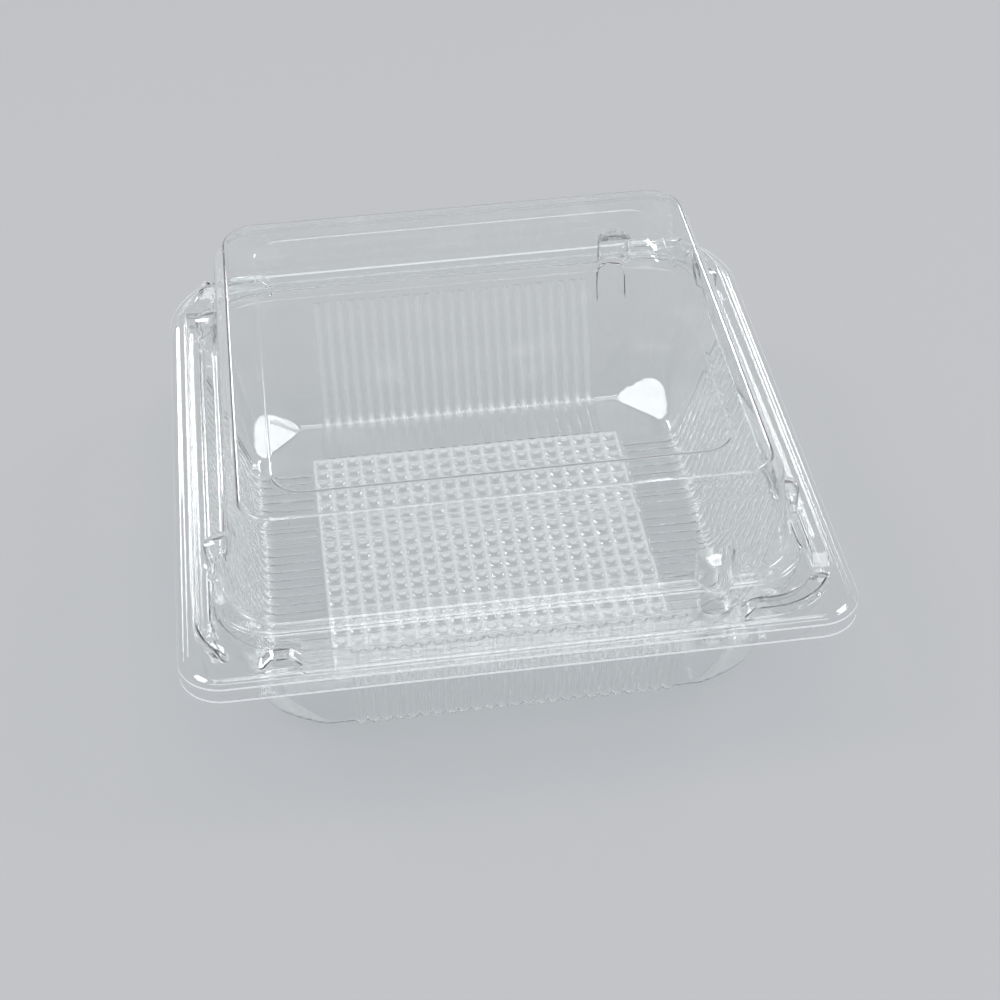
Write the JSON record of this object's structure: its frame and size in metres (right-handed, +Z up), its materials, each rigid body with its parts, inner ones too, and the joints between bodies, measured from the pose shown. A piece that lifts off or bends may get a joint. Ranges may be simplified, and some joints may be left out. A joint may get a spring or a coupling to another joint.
{
  "type": "hinged food container",
  "caption": "Clear formed plastic clamshell food pack with a fluted square tray, a waffled floor and a domed lid that folds up from the back edge.",
  "frame": {"origin": "middle of the floor that the closed pack rests on", "axes": "+X to the right seen from the opening side, +Y towards the fold at the back, +Z up"},
  "size_m": [0.15, 0.1554, 0.0679],
  "materials": {
    "clear_film": "clear formed plastic sheet"
  },
  "bodies": {
    "base": {"base_tray": "clear_film"},
    "lid": {"lid": "clear_film"}
  },
  "joints": [
    {"name": "lid_hinge", "type": "hinge", "parent": "base", "child": "lid", "pos_m": [0, 0.0744, 0.0403], "axis": [-1, 0, 0], "range_deg": [0, 180]}
  ]
}
